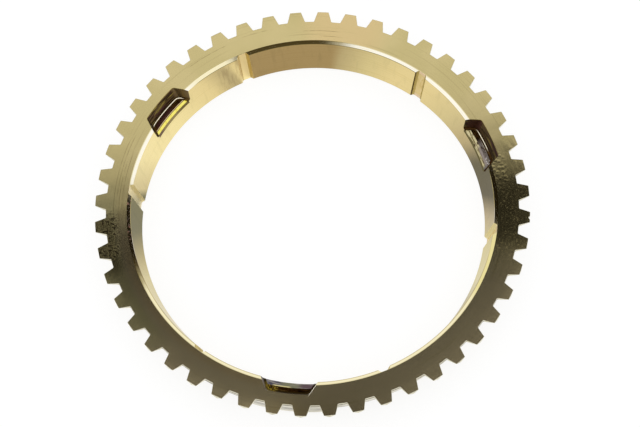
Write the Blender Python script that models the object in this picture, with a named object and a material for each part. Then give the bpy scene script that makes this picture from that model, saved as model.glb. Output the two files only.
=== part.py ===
"""Brass synchronizer ring of a manual gearbox, one piece.

The ring lies on its hub side at z = 0 with its axis along +Z, so the flat gear-side face looks up.
A toothed blank with its driving lugs is lofted column by column round the axis. The pockets, the
oil grooves and the nick in one tooth are then cut out of it.
"""

import math

import bmesh
import bpy
from mathutils import Matrix, Vector

MM = 0.001

# Overall
RING_DEPTH = 11.7 * MM            # hub-side rim to gear-side face
CONE_MOUTH_RADIUS = 50.2 * MM     # large end of the friction cone, at the foot of the bore chamfer
CONE_ANGLE = math.radians(12.5)   # between the cone and the axis
BORE_CHAMFER_WIDTH = 1.04 * MM
BORE_CHAMFER_DEPTH = 0.42 * MM
RIM_CHAMFER = 0.35 * MM           # small end of the cone, hub side

# Body behind the teeth
BODY_WALL = 5.1 * MM              # cone mouth to the outside of the body
FLANGE_STEP = 1.7 * MM            # body up to the root circle of the teeth

# Blocking teeth
TOOTH_COUNT = 48
TOOTH_HEIGHT = 3.0 * MM
ROOT_GAP = 2.49 * MM              # width of the gap between two teeth at the root circle
FLANK_ANGLE = math.radians(17.0)  # flank to the tooth's centre line, seen along the axis
ROOT_FILLET = 0.3 * MM
TIP_LAND = 0.13 * MM              # height of the flank at the tip corner
ROOF_ANGLE = math.radians(50.0)   # half the angle between the two pointing faces of a tooth
RIDGE_SLOPE = math.radians(30.0)  # fall of the ridge from the tip to the body
FIRST_TOOTH_ANGLE = math.radians(3.75)
TIP_STEPS = 2                     # faces over half the width of a tip
ROOT_FILLET_STEPS = 4

# Driving lugs on the hub side, and the shoulders between them
LUG_COUNT = 3
FIRST_LUG_TOOTH = 2               # the lug starts behind the middle of this tooth
LUG_PITCHES = 3                   # width of a lug in tooth pitches
LUG_CHAMFER = 0.8 * MM
SHOULDER_HEIGHT = 3.15 * MM       # shoulders above the rim's end face
SHOULDER_CHAMFER = 0.4 * MM
SHOULDER_FILLET = 0.5 * MM
SHOULDER_FILLET_STEPS = 3
SKIRT_WALL = 3.9 * MM             # wall at the rim, inside the shoulders

BORE_CUTS_TURN = math.radians(-0.48)   # pockets and oil grooves, round from the lugs' centres

# Pockets in the gear-side face, one over each lug
POCKET_WIDTH = 11.76 * MM         # at the outer wall, on the face
POCKET_OUTER_WALL = 1.4 * MM      # metal left between a pocket and the outside of the body
POCKET_DEPTH = 4.4 * MM
POCKET_SIDE_FLARE = math.radians(26.6)
POCKET_SIDE_DRAFT = math.radians(11.0)
POCKET_WALL_DRAFT = math.radians(19.0)
POCKET_FILLET = 0.55 * MM
POCKET_LIP_START = 0.55 * MM      # outside the cone mouth, where the floor starts to fall
POCKET_LIP_SLOPE = math.radians(28.0)
POCKET_TOP_CORNER = 0.25 * MM     # corner radius in plan, above the face
POCKET_FOOT_CORNER = 1.8 * MM     # and at the foot of the walls
POCKET_ARC_STEPS = 9
POCKET_CORNER_STEPS = 4
POCKET_FILLET_STEPS = 5

# Oil grooves along the cone, two to each lug
GROOVE_COUNT = 6
GROOVE_FLOOR_WIDTH = 2.5 * MM
GROOVE_DEPTH = 0.88 * MM          # under the cone, the same all along it
GROOVE_FLARE = math.radians(30.0)
GROOVE_FILLET = 0.35 * MM
GROOVE_FILLET_STEPS = 4

# Nick in the tip of one tooth
NICK_TOOTH = 0
NICK_WIDTH = 1.25 * MM
NICK_DEPTH = 0.5 * MM
NICK_OFFSET = -0.15 * MM          # from the tooth's centre line

CUT_CLEARANCE = 1.5 * MM          # how far a cutter reaches past the surface that it cuts through
WELD_DISTANCE = 0.002 * MM
SHARP_ANGLE = math.radians(20.0)  # just under the turn at the bore chamfer
FLAT_ENOUGH = math.radians(0.01)

# Sizes that follow from the ones above
PITCH = 2 * math.pi / TOOTH_COUNT
LUG_SPACING = 2 * math.pi / LUG_COUNT
BORE_EDGE_RADIUS = CONE_MOUTH_RADIUS + BORE_CHAMFER_WIDTH
BODY_RADIUS = CONE_MOUTH_RADIUS + BODY_WALL
ROOT_RADIUS = BODY_RADIUS + FLANGE_STEP
TIP_RADIUS = ROOT_RADIUS + TOOTH_HEIGHT
FIRST_LUG_ANGLE = FIRST_TOOTH_ANGLE + (FIRST_LUG_TOOTH + LUG_PITCHES / 2) * PITCH
FIRST_POCKET_ANGLE = FIRST_LUG_ANGLE + BORE_CUTS_TURN
GROOVE_SPACING = 2 * math.pi / GROOVE_COUNT


def cone_radius(depth):
    """Radius of the friction cone at a depth under the gear-side face."""
    return CONE_MOUTH_RADIUS - (depth - BORE_CHAMFER_DEPTH) * math.tan(CONE_ANGLE)


SKIRT_RADIUS = cone_radius(RING_DEPTH) + SKIRT_WALL
SHOULDER_DEPTH = RING_DEPTH - SHOULDER_HEIGHT


def polar(radius, angle, depth):
    """Point at a radius and angle, at a depth under the gear-side face."""
    return Vector((radius * math.cos(angle), radius * math.sin(angle), RING_DEPTH - depth))


def turned_about_z(angle):
    return Matrix.Rotation(angle, 4, "Z")


class ToothForm:
    """Outline and pointing of one tooth, with the tooth's centre line along angle 0."""

    def __init__(self):
        gap_half_angle = math.asin(ROOT_GAP / 2 / ROOT_RADIUS)
        self.root_angle = PITCH / 2 - gap_half_angle
        self.root_corner = Vector((math.cos(self.root_angle), math.sin(self.root_angle))) * ROOT_RADIUS
        self.flank = Vector((math.cos(FLANK_ANGLE), -math.sin(FLANK_ANGLE)))
        along = self.root_corner.dot(self.flank)
        missing = TIP_RADIUS ** 2 - self.root_corner.length_squared
        flank_length = math.sqrt(along ** 2 + missing) - along
        tip_corner = self.root_corner + self.flank * flank_length
        self.tip_angle = math.atan2(tip_corner.y, tip_corner.x)
        self.ridge_at_tip = TIP_LAND + tip_corner.y / math.tan(ROOF_ANGLE)
        self.ridge_line_start = tip_corner.x
        self.root_land = self.roof_depth(self.root_corner.x, self.root_corner.y)
        self.back_land = self.roof_depth(BODY_RADIUS * math.cos(self.tip_angle),
                                         BODY_RADIUS * math.sin(self.tip_angle))

    def roof_depth(self, along, across):
        """Depth of the pointing faces at a distance along and across the tooth's centre line."""
        ridge = self.ridge_at_tip + (self.ridge_line_start - along) * math.tan(RIDGE_SLOPE)
        return ridge - abs(across) / math.tan(ROOF_ANGLE)

    def roof_at(self, radius, angle):
        return self.roof_depth(radius * math.cos(angle), radius * math.sin(angle))

    def half_outline(self):
        """(angle, radius, depth of the lower edge) from the tooth's centre line to mid gap."""
        points = []
        for step in range(TIP_STEPS + 1):
            angle = self.tip_angle * step / TIP_STEPS
            points.append((angle, TIP_RADIUS, self.roof_at(TIP_RADIUS, angle)))
        points.extend(self.root_fillet())
        points.append((PITCH / 2, ROOT_RADIUS, self.root_land))
        return points

    def root_fillet(self):
        """Arc from the flank round into the root circle."""
        tangent = Vector((-math.sin(self.root_angle), math.cos(self.root_angle)))
        turn = math.acos(max(-1.0, min(1.0, -self.flank.dot(tangent))))
        reach = ROOT_FILLET * math.tan(turn / 2)
        start = self.root_corner + self.flank * reach
        end_angle = self.root_angle + reach / ROOT_RADIUS
        end = Vector((math.cos(end_angle), math.sin(end_angle))) * ROOT_RADIUS
        start_depth = self.roof_depth(start.x, start.y)
        arc = []
        for step in range(ROOT_FILLET_STEPS + 1):
            share = step / ROOT_FILLET_STEPS
            point = start.lerp(self.root_corner, share).lerp(self.root_corner.lerp(end, share), share)
            depth = start_depth + (self.root_land - start_depth) * share
            arc.append((math.atan2(point.y, point.x), point.length, depth))
        return arc


def bore_section():
    """(radius, depth) points from the face, down the cone, to the outside of the rim's end face."""
    return [
        (BORE_EDGE_RADIUS, 0.0),
        (CONE_MOUTH_RADIUS, BORE_CHAMFER_DEPTH),
        (cone_radius(RING_DEPTH - RIM_CHAMFER), RING_DEPTH - RIM_CHAMFER),
        (cone_radius(RING_DEPTH) + RIM_CHAMFER, RING_DEPTH),
        (SKIRT_RADIUS, RING_DEPTH),
    ]


def lug_section():
    """(radius, depth) points of a lug's chamfer."""
    return [(BODY_RADIUS - LUG_CHAMFER, RING_DEPTH), (BODY_RADIUS, RING_DEPTH - LUG_CHAMFER)]


def shoulder_section():
    """(radius, depth) points round the shoulder's fillet and out to its chamfer."""
    points = []
    for step in range(SHOULDER_FILLET_STEPS + 1):
        turn = math.pi / 2 * step / SHOULDER_FILLET_STEPS
        radius = SKIRT_RADIUS + SHOULDER_FILLET * (1 - math.cos(turn))
        points.append((radius, SHOULDER_DEPTH + SHOULDER_FILLET * (1 - math.sin(turn))))
    points.append((BODY_RADIUS - SHOULDER_CHAMFER, SHOULDER_DEPTH))
    return points


class Column:
    """Points of the blank's section at one angle. At the side of a lug it has both middle parts."""

    def __init__(self, bm, angle, body_top_depth, on_lug, on_shoulder):
        def points(section):
            return [bm.verts.new(polar(radius, angle, depth)) for radius, depth in section]

        self.bore = points(bore_section())
        self.lug = points(lug_section()) if on_lug else []
        self.shoulder = points(shoulder_section()) if on_shoulder else []
        self.body = points([(BODY_RADIUS, SHOULDER_DEPTH - SHOULDER_CHAMFER),
                            (BODY_RADIUS, body_top_depth)])


def behind_lug(angle):
    """Whether a lug lies at an angle, counted from the first tooth's centre line."""
    return (angle - FIRST_LUG_TOOTH * PITCH) % LUG_SPACING < LUG_PITCHES * PITCH


def build_blank():
    """Turned blank with its lugs and teeth, lofted from one column of points to the next."""
    tooth = ToothForm()
    bm = bmesh.new()
    offsets = [-tooth.root_angle, -tooth.tip_angle, 0.0, tooth.tip_angle, tooth.root_angle, PITCH / 2]
    ridge = offsets.index(0.0)
    angles = [index * PITCH + offset for index in range(TOOTH_COUNT) for offset in offsets]
    ends = angles[1:] + [angles[0] + 2 * math.pi]
    lug_follows = [behind_lug((start + end) / 2) for start, end in zip(angles, ends)]
    columns = []
    for index, angle in enumerate(angles):
        beside = (lug_follows[index - 1], lug_follows[index])
        at_ridge = index % len(offsets) == ridge
        back = tooth.roof_at(BODY_RADIUS, 0.0) if at_ridge else tooth.back_land
        columns.append(Column(bm, FIRST_TOOTH_ANGLE + angle, back, any(beside), not all(beside)))
    for index, column in enumerate(columns):
        following = columns[(index + 1) % len(columns)]
        if lug_follows[index]:
            join_strip(bm, column.bore + column.lug + column.body,
                       following.bore + following.lug + following.body)
        else:
            join_strip(bm, column.bore + column.shoulder + column.body,
                       following.bore + following.shoulder + following.body)
        if column.lug and column.shoulder:
            bm.faces.new([column.bore[-1], *column.shoulder, column.body[0], *column.lug[::-1]])
    add_teeth(bm, tooth, columns, len(offsets))
    return close_up(bm)


def join_strip(bm, left, right):
    """One face between each two neighbouring pairs of points of two lines."""
    for row in range(len(left) - 1):
        bm.faces.new((left[row], left[row + 1], right[row + 1], right[row]))


def add_teeth(bm, tooth, columns, per_tooth):
    """Face, flanks, lands and pointing faces of every tooth, joined to the columns."""
    half = tooth.half_outline()
    outline = [(-angle, radius, depth) for angle, radius, depth in reversed(half[1:])] + half
    middle = len(half) - 1
    rings = []
    for index in range(TOOTH_COUNT):
        centre = FIRST_TOOTH_ANGLE + index * PITCH
        upper = [bm.verts.new(polar(radius, centre + angle, 0.0)) for angle, radius, _ in outline[1:]]
        lower = [bm.verts.new(polar(radius, centre + angle, depth)) for angle, radius, depth in outline[1:]]
        rings.append((upper, lower))
    for index in range(TOOTH_COUNT):
        before_upper, before_lower = rings[index - 1]
        upper = [before_upper[-1]] + rings[index][0]
        lower = [before_lower[-1]] + rings[index][1]
        first = index * per_tooth
        inner = [columns[first - 1]] + columns[first:first + per_tooth]
        bore_edge = [column.bore[0] for column in inner]
        body_top = [column.body[-1] for column in inner]
        ridge = len(inner) // 2
        bm.faces.new(upper + bore_edge[::-1])
        for left in range(len(upper) - 1):
            bm.faces.new((upper[left], upper[left + 1], lower[left + 1], lower[left]))
        add_tooth_back(bm, lower[middle:], body_top[ridge:])
        add_tooth_back(bm, lower[middle::-1], body_top[ridge::-1])


def add_tooth_back(bm, edge, body_top):
    """Hub side of half a tooth: pointing face, fillet foot and the flange behind the gap.

    edge runs from the ridge's tip to mid gap, and body_top from the ridge's foot to mid gap.
    """
    ridge_foot, tip_column, root_column, gap_column = body_top
    tip = edge[:TIP_STEPS + 1]
    fillet = edge[TIP_STEPS + 1:-1]
    bm.faces.new(tip + [fillet[0], tip_column, ridge_foot])
    for near, far in zip(fillet, fillet[1:]):
        bm.faces.new((near, far, tip_column))
    bm.faces.new((fillet[-1], root_column, tip_column))
    bm.faces.new((fillet[-1], edge[-1], gap_column, root_column))


def loft(bm, sections):
    """Closed solid through a list of point loops, each with the same number of points."""
    loops = [[bm.verts.new(point) for point in section] for section in sections]
    for lower, upper in zip(loops, loops[1:]):
        for index in range(len(lower)):
            after = (index + 1) % len(lower)
            bm.faces.new((lower[index], lower[after], upper[after], upper[index]))
    bm.faces.new(loops[0])
    bm.faces.new(loops[-1])
    return loops


def close_up(bm):
    """Splits faces that aren't quite flat, and turns all faces outward."""
    bmesh.ops.connect_verts_nonplanar(bm, angle_limit=FLAT_ENOUGH, faces=bm.faces)
    bmesh.ops.recalc_face_normals(bm, faces=bm.faces)
    return bm


def pocket_outline(depth, inset, corner_radius):
    """Plan points of a pocket at a depth, from one inner end round to the other.

    The centre line runs along X. inset draws the walls in where the foot is rounded.
    """
    outer = BODY_RADIUS - POCKET_OUTER_WALL - depth * math.tan(POCKET_WALL_DRAFT) - inset
    side = pocket_side_distance() - depth * math.tan(POCKET_SIDE_DRAFT) - inset
    centre_radius = outer - corner_radius
    centre_angle = math.asin((side - corner_radius) / centre_radius) - POCKET_SIDE_FLARE
    centre = Vector((math.cos(centre_angle), math.sin(centre_angle))) * centre_radius
    inner = cone_radius(RING_DEPTH)
    half = [Vector((inner, (side - inner * math.sin(POCKET_SIDE_FLARE)) / math.cos(POCKET_SIDE_FLARE)))]
    side_facing = math.pi / 2 - POCKET_SIDE_FLARE
    for step in range(POCKET_CORNER_STEPS + 1):
        facing = side_facing + (centre_angle - side_facing) * step / POCKET_CORNER_STEPS
        half.append(centre + Vector((math.cos(facing), math.sin(facing))) * corner_radius)
    points = list(half)
    for step in range(1, POCKET_ARC_STEPS):
        angle = centre_angle * (1 - 2 * step / POCKET_ARC_STEPS)
        points.append(Vector((math.cos(angle), math.sin(angle))) * outer)
    points.extend(Vector((point.x, -point.y)) for point in reversed(half))
    return points


def pocket_side_distance():
    """Distance from the axis to the plane of a pocket's side wall, on the face."""
    outer = BODY_RADIUS - POCKET_OUTER_WALL
    corner_angle = math.asin(POCKET_WIDTH / 2 / outer)
    return outer * math.sin(corner_angle + POCKET_SIDE_FLARE)


def build_pocket_cutter():
    """Drafted plug for each pocket, with a rounded foot and corners that widen with depth."""
    bm = bmesh.new()
    levels = [(-CUT_CLEARANCE, 0.0, POCKET_TOP_CORNER),
              (POCKET_DEPTH - POCKET_FILLET, 0.0, POCKET_FOOT_CORNER)]
    for step in range(1, POCKET_FILLET_STEPS + 1):
        turn = math.pi / 2 * step / POCKET_FILLET_STEPS
        depth = POCKET_DEPTH - POCKET_FILLET * (1 - math.sin(turn))
        levels.append((depth, POCKET_FILLET * (1 - math.cos(turn)), POCKET_FOOT_CORNER))
    for index in range(LUG_COUNT):
        turn = turned_about_z(FIRST_POCKET_ANGLE + index * LUG_SPACING)
        sections = []
        for depth, inset, corner_radius in levels:
            outline = pocket_outline(depth, inset, corner_radius)
            sections.append([turn @ Vector((p.x, p.y, RING_DEPTH - depth)) for p in outline])
        loft(bm, sections)
    return close_up(bm)


def build_lip_cutter():
    """Thin wedge that lets each pocket's floor fall towards the cone."""
    bm = bmesh.new()
    slope = math.tan(POCKET_LIP_SLOPE)
    lip_radius = CONE_MOUTH_RADIUS + POCKET_LIP_START
    start_radius = lip_radius + POCKET_FILLET
    inner_radius = cone_radius(RING_DEPTH)
    above = POCKET_DEPTH - POCKET_FILLET * slope
    wedge = [(start_radius, above), (inner_radius, POCKET_DEPTH + (lip_radius - inner_radius) * slope),
             (inner_radius, above)]
    side = pocket_side_distance() - POCKET_DEPTH * math.tan(POCKET_SIDE_DRAFT) - POCKET_FILLET
    for index in range(LUG_COUNT):
        centre = FIRST_POCKET_ANGLE + index * LUG_SPACING
        sections = []
        for step in range(POCKET_ARC_STEPS + 1):
            share = 2 * step / POCKET_ARC_STEPS - 1
            section = []
            for radius, depth in wedge:
                half_angle = math.asin(side / radius) - POCKET_SIDE_FLARE
                section.append(polar(radius, centre + half_angle * share, depth))
            sections.append(section)
        loft(bm, sections)
    return close_up(bm)


def build_groove_cutter():
    """Bar with a flat, round-cornered crest for each oil groove, laid along the cone."""
    bm = bmesh.new()
    half_floor = GROOVE_FLOOR_WIDTH / 2
    reach = GROOVE_DEPTH + CUT_CLEARANCE
    half_mouth = half_floor + reach * math.tan(GROOVE_FLARE)
    for index in range(GROOVE_COUNT):
        turn = turned_about_z(FIRST_POCKET_ANGLE + (index + 0.5) * GROOVE_SPACING)
        sections = []
        for depth in (-CUT_CLEARANCE, RING_DEPTH + CUT_CLEARANCE):
            floor = cone_radius(depth) + GROOVE_DEPTH
            z = RING_DEPTH - depth
            section = [(floor, half_floor), (floor, -half_floor),
                       (floor - reach, -half_mouth), (floor - reach, half_mouth)]
            sections.append([turn @ Vector((x, y, z)) for x, y in section])
        loops = loft(bm, sections)
        edges = [bm.edges.get((loops[0][corner], loops[1][corner])) for corner in (0, 1)]
        bmesh.ops.bevel(bm, geom=edges, offset=GROOVE_FILLET, offset_type="OFFSET",
                        segments=GROOVE_FILLET_STEPS, profile=0.5, affect="EDGES", clamp_overlap=True)
    return close_up(bm)


def build_nick_cutter():
    """Three-sided bar that takes the nick out of the tip of one tooth."""
    bm = bmesh.new()
    turn = turned_about_z(FIRST_TOOTH_ANGLE + NICK_TOOTH * PITCH)
    slope = NICK_WIDTH / 2 / NICK_DEPTH
    outside = TIP_RADIUS + CUT_CLEARANCE
    half_outside = (NICK_DEPTH + CUT_CLEARANCE) * slope
    sections = []
    for depth in (-CUT_CLEARANCE, SHOULDER_DEPTH):
        section = [(TIP_RADIUS - NICK_DEPTH, NICK_OFFSET), (outside, NICK_OFFSET + half_outside),
                   (outside, NICK_OFFSET - half_outside)]
        sections.append([turn @ Vector((x, y, RING_DEPTH - depth)) for x, y in section])
    loft(bm, sections)
    return close_up(bm)


def make_object(name, bm, material=None):
    mesh = bpy.data.meshes.new(name)
    bm.to_mesh(mesh)
    bm.free()
    if material is not None:
        mesh.materials.append(material)
    obj = bpy.data.objects.new(name, mesh)
    bpy.context.scene.collection.objects.link(obj)
    return obj


def cut(obj, cutter_name, cutter_mesh):
    """Boolean difference, left live on the object with its cutter drawn as wires."""
    cutter = make_object(cutter_name, cutter_mesh)
    cutter.display_type = "WIRE"
    cutter.hide_render = True
    modifier = obj.modifiers.new(cutter_name, "BOOLEAN")
    modifier.operation = "DIFFERENCE"
    modifier.solver = "EXACT"
    modifier.object = cutter
    return cutter


def apply_cuts(obj, cutters):
    """Turns the cut shape into the object's own mesh, so that its new edges can be sharpened."""
    depsgraph = bpy.context.evaluated_depsgraph_get()
    finished = bpy.data.meshes.new_from_object(obj.evaluated_get(depsgraph))
    welded = bmesh.new()
    welded.from_mesh(finished)
    bmesh.ops.remove_doubles(welded, verts=welded.verts, dist=WELD_DISTANCE)
    welded.to_mesh(finished)
    welded.free()
    obj.modifiers.clear()
    obj.data = finished
    for cutter in cutters:
        bpy.data.objects.remove(cutter, do_unlink=True)
    finished.shade_smooth()
    finished.set_sharp_from_angle(angle=SHARP_ANGLE)


def turned_brass():
    """Bright machined high-strength brass."""
    material = bpy.data.materials.new("turned_brass")
    material.use_nodes = True
    shader = material.node_tree.nodes["Principled BSDF"]
    shader.inputs["Base Color"].default_value = (0.62, 0.50, 0.24, 1.0)
    shader.inputs["Metallic"].default_value = 1.0
    shader.inputs["Roughness"].default_value = 0.28
    return material


def main():
    for obj in list(bpy.data.objects):
        bpy.data.objects.remove(obj, do_unlink=True)
    ring = make_object("synchronizer_ring", build_blank(), turned_brass())
    cutters = [
        cut(ring, "pocket_cutter", build_pocket_cutter()),
        cut(ring, "lip_cutter", build_lip_cutter()),
        cut(ring, "groove_cutter", build_groove_cutter()),
        cut(ring, "nick_cutter", build_nick_cutter()),
    ]
    apply_cuts(ring, cutters)


main()
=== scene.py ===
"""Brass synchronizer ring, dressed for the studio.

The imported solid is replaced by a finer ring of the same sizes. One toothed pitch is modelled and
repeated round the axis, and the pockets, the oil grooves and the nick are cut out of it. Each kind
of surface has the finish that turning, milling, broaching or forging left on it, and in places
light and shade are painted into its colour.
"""

import math

import bmesh
import bpy
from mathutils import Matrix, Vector


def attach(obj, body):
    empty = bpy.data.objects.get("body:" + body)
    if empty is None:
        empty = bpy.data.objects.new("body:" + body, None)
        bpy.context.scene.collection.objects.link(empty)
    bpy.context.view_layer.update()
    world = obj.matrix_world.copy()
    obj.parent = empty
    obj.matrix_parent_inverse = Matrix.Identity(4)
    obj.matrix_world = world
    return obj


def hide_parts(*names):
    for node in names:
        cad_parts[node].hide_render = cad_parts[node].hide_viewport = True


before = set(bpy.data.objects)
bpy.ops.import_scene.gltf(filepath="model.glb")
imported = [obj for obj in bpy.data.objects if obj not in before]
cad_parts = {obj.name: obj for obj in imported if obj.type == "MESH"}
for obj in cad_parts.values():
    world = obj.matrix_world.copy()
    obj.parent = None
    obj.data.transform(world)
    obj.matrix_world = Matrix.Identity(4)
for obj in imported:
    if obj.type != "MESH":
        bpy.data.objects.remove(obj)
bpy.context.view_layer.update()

MM = 0.001

# Camera, at the photograph's viewing angle
CAMERA_PLACE = (0.05982, -0.31299, 0.80213)
CAMERA_TURN = (21.811, 1.511, 6.679)
CAMERA_LENS_MM = 173.94
CAMERA_SENSOR_MM = 36.0
CAMERA_NEAR = 0.01

# Cards over the ring. Their places, radii and grades are in millimetres, their turns in degrees
CARD_HEIGHT = 211.7 * MM
FACE_IMAGE_CENTRE = (-15.1, 79.2)  # middle of what the flat face mirrors at that height
CARD_RADIUS = 82.0
CARD_TURN = 104.1                  # the way that its grade runs
CARD_GRADE = [(-60, 0.15), (-48, 0.14), (-30, 0.11), (-16, 0.065), (-4, 0.03), (4, 0.07),
              (12, 0.40), (28, 0.85), (40, 0.97), (60, 1.0)]
CARD_STEPS = 48
FLAG_DROP = 1.0 * MM               # flags hang under the card and hide it where they overlap

# Tones of the room's light
WHITE_ROOM = (1.0, 1.0, 1.0, 1.0)
HALF_DARK = (0.42, 0.38, 0.26, 1.0)
BROWN_DARK = (0.065, 0.047, 0.016, 1.0)
NEAR_BLACK = (0.014, 0.010, 0.004, 1.0)
# Dark flags that the chamfer mirrors: direction of their grade in degrees, their tones along it and
# their outlines
CHAMFER_FLAGS = [
    (0.0, [(-27, WHITE_ROOM), (-18, HALF_DARK), (-9, BROWN_DARK), (33, BROWN_DARK),
           (40, WHITE_ROOM)],
     [(-30, -60), (44, -60), (44, 3), (-30, 3)]),
    (90.0, [(38, WHITE_ROOM), (48, HALF_DARK), (56, NEAR_BLACK), (100, NEAR_BLACK),
            (112, BROWN_DARK)],
     [(-190, 34), (-100, 34), (-100, 112), (-190, 112)]),
    (90.0, [(90, WHITE_ROOM), (95, HALF_DARK), (102, NEAR_BLACK), (156, NEAR_BLACK),
            (168, BROWN_DARK), (182, HALF_DARK), (196, WHITE_ROOM)],
     [(70, 88), (150, 88), (150, 200), (70, 200)]),
]

# What the cone mirrors, round the ring from -180 degrees
BRIGHT = (1.15, 1.12, 1.08, 1.0)
WHITE = (1.0, 0.93, 0.88, 1.0)
PALE = (0.84, 0.80, 0.76, 1.0)
DIM = (0.62, 0.57, 0.56, 1.0)
SAND = (0.80, 0.76, 0.60, 1.0)
DIM_SAND = (0.60, 0.56, 0.45, 1.0)
COOL_SHADE = (0.205, 0.205, 0.235, 1.0)
OLIVE_SHADE = (0.28, 0.29, 0.29, 1.0)
WARM_SHADE = (0.47, 0.38, 0.32, 1.0)
BORE_LIGHT = [
    (-180, OLIVE_SHADE), (-172, OLIVE_SHADE), (-162, DIM_SAND), (-155, SAND), (-120, PALE),
    (-40, PALE), (-22, DIM_SAND), (-14, SAND), (0, SAND), (9, DIM), (17, COOL_SHADE),
    (29, COOL_SHADE), (37, DIM), (48, PALE), (60, WHITE), (70, WHITE), (80, PALE), (88.5, DIM),
    (91, WARM_SHADE), (118, WARM_SHADE), (119, WHITE), (121.5, WHITE), (122.5, DIM), (124, DIM),
    (131, WHITE), (148, BRIGHT), (161, BRIGHT), (172, PALE), (173.8, PALE), (175.0, OLIVE_SHADE),
    (180, OLIVE_SHADE),
]
BORE_CARD_RADIUS = 47.9
BORE_CARD_LIFT = 0.05 * MM

TABLE_HALF_WIDTH = 3.0
TABLE_DROP = -0.1 * MM
TABLE_LIT = 0.2
TABLE_GLOW = 0.83

# Ring, the same sizes as the solid's
RING_DEPTH = 11.7 * MM
CONE_MOUTH_RADIUS = 50.2 * MM
CONE_ANGLE = math.radians(12.5)
BORE_CHAMFER_WIDTH = 1.04 * MM
BORE_CHAMFER_DEPTH = 0.42 * MM
RIM_CHAMFER = 0.35 * MM
BODY_WALL = 5.1 * MM
FLANGE_STEP = 1.7 * MM

TOOTH_COUNT = 48
TOOTH_HEIGHT = 3.0 * MM
ROOT_GAP = 2.49 * MM
FLANK_ANGLE = math.radians(17.0)
ROOT_FILLET = 0.3 * MM
TIP_LAND = 0.13 * MM
ROOF_ANGLE = math.radians(50.0)
RIDGE_SLOPE = math.radians(30.0)
FIRST_TOOTH_ANGLE = math.radians(3.75)
TIP_STEPS = 4
FILLET_STEPS = 6

LUG_COUNT = 3
FIRST_LUG_TOOTH = 2
LUG_PITCHES = 3
LUG_CHAMFER = 0.8 * MM
SHOULDER_HEIGHT = 3.15 * MM
SHOULDER_CHAMFER = 0.4 * MM
SHOULDER_FILLET = 0.5 * MM
SKIRT_WALL = 3.9 * MM

BORE_CUTS_TURN = math.radians(-0.48)
POCKET_WIDTH = 11.76 * MM
POCKET_OUTER_WALL = 1.4 * MM
POCKET_DEPTH = 4.4 * MM
POCKET_SIDE_FLARE = math.radians(26.6)
POCKET_SIDE_DRAFT = math.radians(11.0)
POCKET_WALL_DRAFT = math.radians(19.0)
POCKET_FILLET = 0.55 * MM
POCKET_LIP_START = 0.55 * MM
POCKET_LIP_SLOPE = math.radians(28.0)
POCKET_TOP_CORNER = 0.25 * MM
POCKET_FOOT_CORNER = 1.8 * MM
POCKET_ARC_STEPS = 19
POCKET_CORNER_STEPS = 6

GROOVE_COUNT = 6
GROOVE_FLOOR_WIDTH = 2.5 * MM
GROOVE_DEPTH = 0.88 * MM
GROOVE_FLARE = math.radians(30.0)
GROOVE_FILLET = 0.35 * MM
GROOVE_FILLET_STEPS = 6
GROOVE_FLOOR_FACING = 0.95         # the cutter's faces that point outward by more cut the floor

NICK_WIDTH = 1.25 * MM
NICK_DEPTH = 0.5 * MM
NICK_OFFSET = -0.15 * MM

# Places round the ring where the finishes differ, in degrees
LEFT_POCKET, LOWER_POCKET = 150.0, 270.0
RIGHT_GROOVE, UPPER_RIGHT_GROOVE, UPPER_LEFT_GROOVE, LEFT_GROOVE = 0.0, 60.0, 120.0, 180.0
# Half width and fade that take in just one of them
POCKET_REACH, GROOVE_REACH = (12.0, 2.0), (6.0, 2.0)
# Where painted shade darkens the crease between chamfer and cone: middle, half width and fade
PAINTED_CREASE_SHADE = (97.0, 38.0, 4.0)
# Long scratches in the face: radius in millimetres, middle and half length in degrees
SCRATCHES = [(54.2, 94.0, 4.0), (52.6, 91.0, 2.0), (55.4, 129.0, 5.0), (54.9, 176.0, 11.0),
             (54.1, 172.0, 9.0), (53.4, 181.0, 9.0), (52.6, 177.0, 8.0), (55.9, 113.0, 3.0)]

EDGE_BREAK = 0.05 * MM             # file-broken edges of the turned and milled surfaces
CUT_CLEARANCE = 1.5 * MM
WELD_DISTANCE = 0.002 * MM
SHARP_ANGLE = math.radians(20.0)
CREASE_ANGLE = math.radians(25.0)  # turns above this have a broken edge
FLAT_ENOUGH = math.radians(0.01)
EDGE_SAMPLES = 6                   # rays of the node that finds edges for the finishes
EDGE_ALIKE = (0.985, 0.85)         # cosine between true and rounded normal beside and on an edge

PITCH = 2 * math.pi / TOOTH_COUNT
LUG_SPACING = 2 * math.pi / LUG_COUNT
TEETH_PER_LUG = TOOTH_COUNT // LUG_COUNT
BORE_EDGE_RADIUS = CONE_MOUTH_RADIUS + BORE_CHAMFER_WIDTH
BODY_RADIUS = CONE_MOUTH_RADIUS + BODY_WALL
ROOT_RADIUS = BODY_RADIUS + FLANGE_STEP
TIP_RADIUS = ROOT_RADIUS + TOOTH_HEIGHT
FIRST_LUG_ANGLE = FIRST_TOOTH_ANGLE + (FIRST_LUG_TOOTH + LUG_PITCHES / 2) * PITCH
FIRST_POCKET_ANGLE = FIRST_LUG_ANGLE + BORE_CUTS_TURN
FIRST_GROOVE_ANGLE = FIRST_POCKET_ANGLE + math.pi / GROOVE_COUNT
SHOULDER_DEPTH = RING_DEPTH - SHOULDER_HEIGHT

# Finishes, as numbers on the faces of the ring and its cutters
(TURNED_FACE, BORE_CHAMFER, CONE, HUB_SIDE, TOOTH_SIDE, BODY,
 POCKET_WALL, POCKET_FOOT, POCKET_FLOOR, POCKET_LIP, GROOVE_FLOOR, GROOVE_WALL) = range(12)


def cone_radius(depth):
    """Radius of the friction cone at a depth under the gear-side face."""
    return CONE_MOUTH_RADIUS - (depth - BORE_CHAMFER_DEPTH) * math.tan(CONE_ANGLE)


SKIRT_RADIUS = cone_radius(RING_DEPTH) + SKIRT_WALL


def polar(radius, angle, depth):
    return Vector((radius * math.cos(angle), radius * math.sin(angle), RING_DEPTH - depth))


def plan_point(radius, angle):
    return Vector((math.cos(angle), math.sin(angle))) * radius


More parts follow.
